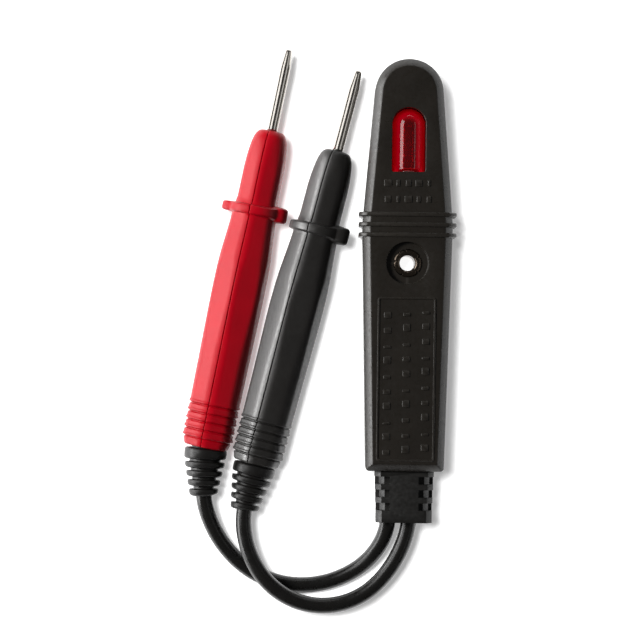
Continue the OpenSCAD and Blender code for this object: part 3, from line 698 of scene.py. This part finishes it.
def strain_relief():
    """The CAD solid with its edges eased."""
    bm = bmesh.new()
    bm.from_mesh(cad_nodes["strain_relief"].data)
    bmesh.ops.remove_doubles(bm, verts=bm.verts, dist=1e-6)
    bmesh.ops.dissolve_limit(bm, angle_limit=rad(1.0), verts=bm.verts, edges=bm.edges)
    edges = [edge for edge in bm.edges
             if len(edge.link_faces) == 2 and edge.calc_face_angle(0) > rad(25)]
    bmesh.ops.bevel(bm, geom=edges, offset=0.14 * MM, segments=2, profile=0.5,
                    affect="EDGES", clamp_overlap=True)
    mesh = bpy.data.meshes.new("strain_relief_visual")
    bmesh.ops.recalc_face_normals(bm, faces=bm.faces)
    bm.to_mesh(mesh)
    bm.free()
    shade(mesh, 32)
    mesh.materials.clear()  # also resets the material indices that came with the CAD mesh
    mesh.materials.append(MATERIALS["soft_black"])
    obj = add_object("strain_relief_visual", mesh)
    register(obj, "housing", "soft_black", "strain_relief")


lens()
eyelet()
strain_relief()


# ------------------------------------------------------------------ lead centrelines
# Four arcs link five stations. turns: clockwise turn of each arc in degrees; mid_z: height of
# its middle. bodies: moving bodies in order from the housing; each neighbouring pair meets at
# one hinge, and each hinge has one length of jacket, which replaces the CAD jackets listed.
LEADS = {
    "red": dict(
        joints=["red_lead_open", "red_lead_open_2", "red_probe_lift", "red_probe_lift_2"],
        turns=[45.6, 38.6, 43.1, 34.1], mid_z=[4.7, 2.1, 2.05, 4.5],
        bodies=["housing", "red_lead_2", "red_lead_3", "red_lead_4", "red_probe"],
        jackets=["tail a", "b", "c", "d probe"]),
    "black": dict(
        joints=["black_lead_swing", "black_lead_swing_2", "black_lead_swing_3",
                "black_probe_lift", "black_probe_lift_2"],
        turns=[35.2, 51.5, 48.9, 39.4], mid_z=[6.95, 6.8, 6.8, 6.6],
        bodies=["housing", "black_lead_1", "black_lead_2", "black_lead_3", "black_lead_4",
                "black_probe"],
        jackets=["tail", "a", "b", "c", "d probe"]),
}
CABLE_R, CABLE_BORE_R = 1.8, 0.68
HANDLE_TO_MOUNT = 73.5  # from the handle's boot end to the pin_tip mount
PROBE_ROLL = {"red": -11, "black": -20}  # degrees
PATH_STEP = 0.25
SMOOTH_SAMPLES, SMOOTH_LENGTH = 24, 1.7  # half width and spread of the corner easing


def probe_frame(color):
    """Middle of the handle's boot end, and the handle's right, forward and up directions."""
    mount = mounts[color + "_pin_tip"]
    forward = np.array(mount["axis"], float)
    tip = np.array(mount["pos_m"], float) / MM
    roll = rad(PROBE_ROLL[color])
    level = np.array([forward[1], -forward[0], 0.0])
    up = np.array([0, 0, 1.0])
    return (tip - HANDLE_TO_MOUNT * forward,
            level * math.cos(roll) - up * math.sin(roll), forward,
            level * math.sin(roll) + up * math.cos(roll))


def arc_through(a, b, c):
    """40 points on the arc from a through b to c."""
    ab, ac = b - a, c - a
    normal = np.cross(ab, ac)
    centre = a + (np.cross(normal, ab) * (ac @ ac)
                  + np.cross(ac, normal) * (ab @ ab)) / (2 * (normal @ normal))
    radius = np.linalg.norm(a - centre)
    x = (a - centre) / radius
    y = np.cross(normal / np.linalg.norm(normal), x)
    sweep = math.atan2((c - centre) @ y, (c - centre) @ x) % (2 * math.pi)
    return [centre + radius * (math.cos(angle) * x + math.sin(angle) * y)
            for angle in np.linspace(0, sweep, 40)]


def arc_middle(a, c, turn, z):
    """Middle of a clockwise arc from a to c, seen from above."""
    chord = (c - a)[:2]
    left = np.array([-chord[1], chord[0]])
    middle = (a + c)[:2] / 2 + left * 0.5 * math.tan(rad(turn) / 4)
    return np.array([middle[0], middle[1], z])


def eased(path):
    """Round the corners where straight and curved lengths meet."""
    n = SMOOTH_SAMPLES
    weights = np.exp(-0.5 * (np.arange(-n, n + 1) * PATH_STEP / SMOOTH_LENGTH) ** 2)
    weights /= weights.sum()
    before = np.repeat(path[:1], n, 0) + (path[:1] - path[1:2]) * np.arange(n, 0, -1)[:, None]
    after = np.repeat(path[-1:], n, 0) + (path[-1:] - path[-2:-1]) * np.arange(1, n + 1)[:, None]
    padded = np.r_[before, path, after]
    return np.stack([np.convolve(padded[:, k], weights, "valid") for k in range(3)], 1)


class Lead:
    """Centreline of one lead, from the housing into the handle, by length s along it.

    marks holds s at the five stations and at the handle's boot end.
    """

    def __init__(self, color):
        spec = LEADS[color]
        tail_lo, tail_hi = box_mm(color + "_lead_tail_jacket")
        stations = [joint_mm(name) for name in spec["joints"]]
        if color == "red":  # no hinge where it leaves the housing, so it starts beside black's
            stations.insert(0, np.array([(tail_lo.x + tail_hi.x) / 2,
                                         joint_mm("black_lead_swing")[1],
                                         (tail_lo.z + tail_hi.z) / 2]))
        first = stations[0]
        points = [np.array([first[0], y, first[2]])
                  for y in np.linspace(tail_hi.y, first[1], 40)]
        corners = [len(points) - 1]
        for a, c, turn, z in zip(stations, stations[1:], spec["turns"], spec["mid_z"]):
            points += arc_through(a, arc_middle(a, c, turn, z), c)[1:]
            corners.append(len(points) - 1)
        handle, _, forward, _ = probe_frame(color)
        points += list(np.linspace(stations[4], handle, 20))[1:]
        corners.append(len(points) - 1)
        points += list(np.linspace(handle, handle + 38.4 * forward, 60))[1:]
        points = np.array(points)
        along = np.r_[0, np.cumsum(np.linalg.norm(np.diff(points, axis=0), axis=1))]
        self.marks = [along[corner] for corner in corners]
        self.s = np.arange(0, along[-1], PATH_STEP)
        self.path = eased(np.stack([np.interp(self.s, along, points[:, k])
                                    for k in range(3)], 1))
        tangents = np.gradient(self.path, axis=0)
        tangents /= np.linalg.norm(tangents, axis=1)[:, None]
        self.up = np.zeros_like(tangents)
        up = np.array([0, 0, 1.0])
        for i, tangent in enumerate(tangents):
            up = up - tangent * (up @ tangent)
            up /= np.linalg.norm(up)
            self.up[i] = up
        self.side = np.cross(tangents, self.up)

    def sample(self, track, s):
        return np.array([np.interp(s, self.s, track[:, k]) for k in range(3)])

    def point_m(self, s):
        return tuple(float(c) * MM for c in self.sample(self.path, s))

    def ring(self, s, radius, count):
        centre = self.sample(self.path, s)
        up, side = self.sample(self.up, s), self.sample(self.side, s)
        up, side = up / np.linalg.norm(up), side / np.linalg.norm(side)
        return [centre + radius * (math.cos(angle) * up + math.sin(angle) * side)
                for angle in turn_angles(count)]


lead_lines = {color: Lead(color) for color in LEADS}


# ------------------------------------------------------------------ cables and boots
def build_cable(color):
    """One length of jacket per hinge, cut midway between hinges."""
    lead, spec = lead_lines[color], LEADS[color]
    bodies = spec["bodies"]
    count = len(bodies) - 1
    hinges = lead.marks[5 - count:5]
    cuts = [0.0] + [(a + b) / 2 for a, b in zip(hinges, hinges[1:])] + [lead.s[-1]]
    for i, hinge in enumerate(hinges):
        stops = np.linspace(cuts[i], cuts[i + 1], max(4, int((cuts[i + 1] - cuts[i]) / 0.4)))
        builder = Builder()
        builder.tube([lead.ring(s, CABLE_R, 40) for s in stops],
                     [lead.ring(s, CABLE_BORE_R, 40) for s in stops])
        obj = builder.make(f"{color}_lead_jacket_{i + 1}", "cable_pvc", sharp=50)
        start, end = hinge - 5.5, hinge + 5.5
        if i == count - 1:  # the boot holds the cable straight
            start, end = hinge - 7.0, hinge - 0.2
        if color == "black" and i == 0:  # so does the strain relief
            start, end = hinge + 0.2, hinge + 8.0
        lead.point_m(start)
        lead.point_m(end)
        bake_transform(obj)
        parts = [{"probe": f"{color}_probe_jacket"}.get(part, f"{color}_lead_{part}_jacket")
                 for part in spec["jackets"][i].split()]
        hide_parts(*parts)


# (distance from the handle's boot end towards the cable, radius)
BOOT_BASE = [
    (-4.3, 3.1), (-4.15, 3.24), (0.0, 3.24), (0.2, 3.3), (0.3, 4.4), (0.36, 4.6),
    (0.5, 4.74), (0.8, 4.82), (1.5, 4.82), (2.2, 4.76), (2.45, 4.66), (2.6, 4.4)]
# narrow undercut, then a broad ring whose lip leans towards the handle:
# (distance from the ring's start, radius over the ring's own)
BOOT_RING = [
    (0.03, -0.8), (0.1, -0.98), (0.35, -1.02), (0.6, -0.96), (0.68, -0.8), (0.7, -0.2),
    (0.76, -0.04), (0.9, 0), (1.2, 0.01), (1.55, -0.06), (1.8, -0.2), (1.95, -0.42),
    (2.0, -0.62)]
BOOT_BORE_R = 1.84


def build_boot(color):
    lead = lead_lines[color]
    handle_s = lead.marks[5]
    profile = list(BOOT_BASE)
    for i in range(4):
        radius, start = 4.52 - i * 0.40, 2.62 + i * 2.03
        profile += [(start + step, radius + rise) for step, rise in BOOT_RING]
    end, end_r = profile[-1]
    profile.append((end + 0.05, end_r - 0.15))
    builder = Builder()
    builder.tube(
        [lead.ring(handle_s - distance, radius, 64) for distance, radius in profile],
        [lead.ring(handle_s - distance, BOOT_BORE_R, 64)
         for distance in np.linspace(profile[0][0], profile[-1][0], 24)])
    obj = builder.make(color + "_boot_visual", "soft_black", sharp=50)
    register(obj, color + "_probe", "soft_black", color + "_boot")


build_cable("red")
build_cable("black")
build_boot("red")
build_boot("black")


# ------------------------------------------------------------------ probe handles and pins
# s runs along the handle from its boot end to the pin; angles start at the handle's right.
HANDLE_LENGTH = 73.0
PIN_REACH = 18.8  # pin beyond the handle
# (s, radius of the circle that bounds the six-sided grip)
GRIP = [(0, 5.05), (0.5, 5.2), (1.3, 5.42), (2.2, 5.72), (10.6, 5.75), (13, 5.8), (20, 5.87),
        (27, 6.02), (33, 6.15), (37, 6.16), (41, 6.08), (45, 5.82), (49, 5.46), (51.5, 5.26),
        (54, 5.12)]
GRIP_S, GRIP_R = zip(*GRIP)
FLAT_R = 5.65  # from the axis to each flat
FLAT_EASE = 0.25
LIPS = [2.35 + 1.9 * i for i in range(5)]
# (s where the step ends, bore radius)
BORE_STEPS = [(4.6, 3.3), (39.5, 1.86), (50.2, 1.98), (52.2, 2.02), (math.inf, 1.13)]
GUARD_S = 54.6
GUARD_END_R = 2.3
GUARD_REACH = {"red": (7.75, 7.5), "black": (6.65, 7.75)}  # (left, right)
GUARD_SWELL = {"red": 0.75, "black": 1}
# (place across the guard's half thickness, radius over the guard's own)
GUARD_EDGE = [(-1.02, -0.62), (-0.93, -0.28), (-0.78, -0.08), (-0.5, 0.0), (0.5, 0.0),
              (0.78, -0.08), (0.93, -0.28), (1.02, -0.62)]
# (s, radius)
NOSE = [(56.4, 4.7), (57.0, 4.58), (58.5, 4.55), (61, 4.55), (64, 4.54), (66.5, 4.45),
        (68, 4.33), (69.5, 4.16), (70.6, 3.96), (71.4, 3.72), (72.0, 3.45), (72.5, 3.1),
        (72.8, 2.75), (72.95, 2.4), (HANDLE_LENGTH, 2.1)]
# angles of one half, from the bottom seam to the top seam, denser at the seams
SEAM_ANGLES = np.array([0.012, 0.035, 0.07])
HALF_ANGLES = np.r_[
    -math.pi / 2, -math.pi / 2 + SEAM_ANGLES,
    np.linspace(-math.pi / 2 + 0.11, math.pi / 2 - 0.11, 70),
    math.pi / 2 - SEAM_ANGLES[::-1], math.pi / 2]
HALF_GAP = 0.02  # from the parting plane to each half


def grip_circle(s):
    return float(np.interp(s, GRIP_S, GRIP_R))


def six_sided(angle, radius):
    """Circle cut by six flats, the meeting lines eased."""
    folded = (angle + math.pi / 6) % (math.pi / 3) - math.pi / 6
    flat = min(FLAT_R, radius * 0.955) / math.cos(folded)
    over = radius - flat
    return flat + 0.5 * (over - math.sqrt(over * over + FLAT_EASE * FLAT_EASE * 0.35))


def guard_radius(angle, reach):
    """Guard seen along the handle: a bar with round ends, never under 6.05."""
    centre = reach - GUARD_END_R
    sine, cosine = abs(math.sin(angle)), abs(math.cos(angle))
    if sine > 1e-6 and GUARD_END_R / sine * cosine <= centre:
        radius = GUARD_END_R / sine
    else:
        radius = centre * cosine + math.sqrt(max(GUARD_END_R ** 2 - (centre * sine) ** 2, 0))
    return max(radius, 6.05)


def handle_half(color, side):
    """One moulded half: outer skin, seam faces and bore, as one closed loft."""
    origin, right, forward, up = probe_frame(color)
    reach_left, reach_right = GUARD_REACH[color]
    rings = []

    def place(radius, angle, s):
        x, z = radius * math.cos(angle), radius * math.sin(angle)
        x = max(x, HALF_GAP) if side > 0 else min(x, -HALF_GAP)
        return origin + x * right + s * forward + z * up

    def add_ring(s_at, radius_at, bore_s):
        """s_at and radius_at give the skin by angle; the bore is flat at bore_s."""
        turned = [a if side > 0 else math.pi - a for a in HALF_ANGLES]
        points = []
        for a, angle in zip(HALF_ANGLES, turned):
            to_seam = min(a - HALF_ANGLES[0], HALF_ANGLES[-1] - a)
            radius = radius_at(angle)
            # the parting line is a fine groove with eased lips
            radius -= 0.20 * math.exp(-(to_seam * radius / 0.10) ** 2)
            points.append(place(radius, angle, s_at(angle)))
        bore = next(radius for end, radius in BORE_STEPS if bore_s < end)
        points += [place(bore, angle, bore_s) for angle in turned[::-1]]
        rings.append(points)

    # grip, with its lips near the boot end
    for s in [*np.arange(0, 11.4, 0.1), *np.arange(11.4, 53.0, 0.6), 53.15]:
        radius = grip_circle(s)
        relief = 0.0
        for lip in LIPS:
            # small lip, then a narrow groove on the boot side of it
            relief += (0.20 * math.exp(-((s - lip) / 0.28) ** 2)
                       - 0.42 * math.exp(-((s - lip + 0.5) / 0.17) ** 2))
        if s < 0.3:
            radius -= (0.3 - s) * 0.7
        add_ring(lambda angle: s, lambda angle: six_sided(angle, radius) + relief, s)

    # finger guard: eased plate that swells to a broad end on the handle's right
    def guard_ring(across, radius_at):
        def s_at(angle):
            swell = 0.85 * GUARD_SWELL[color] * max(0.0, math.cos(angle)) ** 8
            return GUARD_S + across * (1.05 + swell)
        add_ring(s_at, radius_at, GUARD_S + across)

    guard_ring(-1.12, lambda angle: six_sided(angle, grip_circle(53.3)) + 0.12)
    for across, rise in GUARD_EDGE:
        guard_ring(across, lambda angle: rise + guard_radius(
            angle, reach_right if math.cos(angle) > 0 else reach_left))
    guard_ring(1.15, lambda angle: 4.86)

    # nose: the flats fade into a round end
    for s, radius in NOSE:
        flats = max(0.0, min(1.0, (70.5 - s) / 6))
        add_ring(lambda angle: s, lambda angle: (
            radius * (1 - flats) + flats * (six_sided(angle, radius * 1.045) * 0.985)), s)

    builder = Builder()
    builder.loft(rings)
    builder.fill(rings[0])
    builder.fill(rings[-1])
    name = f"{color}_handle_" + ("left" if side < 0 else "right")
    slot = "red_plastic" if color == "red" else "grip_plastic"
    obj = builder.make(name + "_visual", slot, sharp=38, weld=0.0005)
    register(obj, color + "_probe", slot, name)


def build_pin(color):
    origin, right, forward, up = probe_frame(color)
    tip = HANDLE_LENGTH + PIN_REACH
    # (radius, s): shank with a collar inside the handle, bare pin, blunt tip
    profile = [(0.0, 45.4), (1.0, 45.4), (1.09, 45.6), (1.1, 50.5), (1.9, 50.5), (1.95, 50.6),
               (1.95, 51.9), (1.9, 52.0), (1.1, 52.0), (1.1, 73.02), (1.15, 73.03), (1.2, 73.1)]
    profile += [(1.2, s) for s in np.linspace(74, tip - 4.1, 16)]
    profile += [(1.19, tip - 3.9), (1.14, tip - 3.4), (0.98, tip - 2.2), (0.84, tip - 1.0),
                (0.77, tip - 0.45), (0.70, tip - 0.2), (0.52, tip - 0.05), (0.28, tip),
                (0.0, tip)]
    builder = Builder()
    builder.loft(lathe_rings(
        profile, 48, lambda x, s, z: origin + x * right + s * forward + z * up))
    obj = builder.make(color + "_pin_visual", "nickel_pin", sharp=50, weld=0.001)
    register(obj, color + "_probe", "nickel_pin", color + "_pin")


for color in ("red", "black"):
    handle_half(color, -1)
    handle_half(color, 1)
    build_pin(color)


# ------------------------------------------------------------------ table
def floor_material():
    shader = Shader("floor_white")
    coords = shader.node("TexCoord").outputs["Object"]
    noise = shader.node("TexNoise", {"Scale": 60, "Vector": coords}).outputs["Fac"]
    white = shader.map_range(noise, to_range=(0.80, 0.84))
    # back-lit table glowing evenly, with a painted pool of light straight under the hanging
    # hole; distances in metres
    distance = shader.node("VectorMath", {0: coords}, operation="LENGTH").outputs["Value"]
    glow_with_painted_light = shader.map_range(distance, (0.0030, 0.0036), (0.92, 0.34))
    # the table shines into the steep sides that face left
    incoming = shader.node("NewGeometry").outputs["Incoming"]
    incoming_x = shader.node("SeparateXYZ", {"Vector": incoming}).outputs["X"]
    lean = shader.map_range(incoming_x, (0.35, 0.90), (0.0, 0.9))
    glossy = shader.node("LightPath").outputs["Is Glossy Ray"]
    boost = shader.node("Math", {0: lean, 1: glossy}, operation="MULTIPLY").outputs["Value"]
    total = shader.node("Math", {0: glow_with_painted_light, 1: boost}, operation="ADD").outputs["Value"]
    shader.surface({
        "Base Color": white, "Roughness": 0.85, "Specular IOR Level": 0.05,
        "Emission Color": (1, 1, 1, 1), "Emission Strength": total})
    return shader.material


def build_floor():
    half_m, z_m = 2.0, -0.00012
    mesh = bpy.data.meshes.new("floor")
    mesh.from_pydata([(-half_m, -half_m, z_m), (half_m, -half_m, z_m),
                      (half_m, half_m, z_m), (-half_m, half_m, z_m)], [], [(0, 1, 2, 3)])
    mesh.materials.append(floor_material())
    obj = add_object("floor", mesh)
    return obj


floor = build_floor()


# ------------------------------------------------------------------ lights
LIGHT_CENTRE_M = Vector((-0.0194, -0.0130, 0.007))


def soft_box(name, azimuth, elevation, distance, width, height, power):
    """Area light aimed at the centre; azimuth 0 is +X, anticlockwise. Sizes in metres."""
    light = bpy.data.lights.new(name, "AREA")
    light.shape = "RECTANGLE"
    light.size, light.size_y = width, height
    light.energy = power
    obj = add_object(name, light)
    az, el = rad(azimuth), rad(elevation)
    direction = Vector((math.cos(az) * math.cos(el), math.sin(az) * math.cos(el), math.sin(el)))
    obj.location = LIGHT_CENTRE_M + direction * distance
    obj.rotation_mode = "QUATERNION"
    obj.rotation_quaternion = direction.to_track_quat("Z", "Y")
    return obj


def light_targets(name, objects):
    collection = bpy.data.collections.new(name)
    for obj in objects:
        collection.objects.link(obj)
    return collection


# boxes seen only as highlights
low_left = soft_box("low_left", azimuth=177, elevation=8, distance=0.75,
                    width=0.9, height=0.36, power=7.6)
mid_left = soft_box("mid_left", azimuth=160, elevation=40, distance=0.85,
                    width=0.55, height=0.34, power=2.2)
strip_right = soft_box("strip_right", azimuth=-4, elevation=47, distance=0.9,
                       width=0.8, height=0.10, power=0.18)
edge_right = soft_box("edge_right", azimuth=-2, elevation=9, distance=0.8,
                      width=0.8, height=0.16, power=0.5)
top_back = soft_box("top_back", azimuth=86, elevation=18, distance=0.9,
                    width=0.7, height=0.12, power=0.6)
for light in (low_left, mid_left, strip_right, edge_right, top_back):
    light.visible_diffuse = False

# one soft key for the parts, a higher one for the table and its tight shadow
key_parts = soft_box("key_parts", azimuth=164, elevation=42, distance=1.0,
                     width=0.30, height=0.30, power=12.5)
key_table = soft_box("key_table", azimuth=148, elevation=75, distance=1.1,
                     width=0.28, height=0.28, power=20.0)
for light in (key_parts, key_table):
    light.visible_glossy = False
    light.visible_transmission = False
key_table.light_linking.receiver_collection = light_targets("table_light_targets", [floor])
parts = light_targets("part_light_targets",
                      [obj for obj in bpy.data.objects if obj.type == "MESH" and obj != floor])
key_parts.light_linking.receiver_collection = parts

# the pins have side boxes of their own
pin_left = soft_box("pin_left", azimuth=165, elevation=50, distance=0.8,
                    width=0.7, height=0.50, power=2.2)
pin_right = soft_box("pin_right", azimuth=0, elevation=50, distance=0.8,
                     width=0.7, height=0.4, power=0.55)
metal = light_targets("metal_light_targets", [
    bpy.data.objects[name] for name in ("red_pin_visual", "black_pin_visual")])
for light in (pin_left, pin_right):
    light.light_linking.receiver_collection = metal
plastic = light_targets("plastic_light_targets", [
    obj for obj in parts.objects if obj.name not in metal.objects])
for light in (low_left, mid_left):
    light.light_linking.receiver_collection = plastic

# sheen along the black grip, which lies in the lee of the red one
sheen = soft_box("grip_sheen", azimuth=176, elevation=9, distance=0.75,
                 width=0.9, height=0.50, power=31.0)
sheen.visible_diffuse = False
grip = light_targets("grip_light_targets", [
    bpy.data.objects[f"black_handle_{side}_visual"] for side in ("left", "right")])
sheen.light_linking.receiver_collection = grip
sheen.light_linking.blocker_collection = grip

world = bpy.data.worlds.new("world")
bpy.context.scene.world = world
world.use_nodes = True
background = world.node_tree.nodes["Background"]
background.inputs["Color"].default_value = (1, 1, 1, 1)
background.inputs["Strength"].default_value = 0.05


# ------------------------------------------------------------------ camera, straight above
CAMERA_Z_M = 0.650
VIEW_WIDTH_M, VIEW_PLANE_Z_M = 0.144, 0.0095  # width in view, and the height it is taken at
SENSOR = 36

camera = bpy.data.cameras.new("camera")
camera_obj = add_object("camera", camera)
camera.sensor_width = SENSOR
camera.lens = SENSOR * (CAMERA_Z_M - VIEW_PLANE_Z_M) / VIEW_WIDTH_M
camera_obj.location = (-0.01939, -0.01299, CAMERA_Z_M)
camera_obj.rotation_euler = (0, 0, 0.0131)
bpy.context.scene.camera = camera_obj
bpy.context.scene.view_settings.view_transform = "Standard"
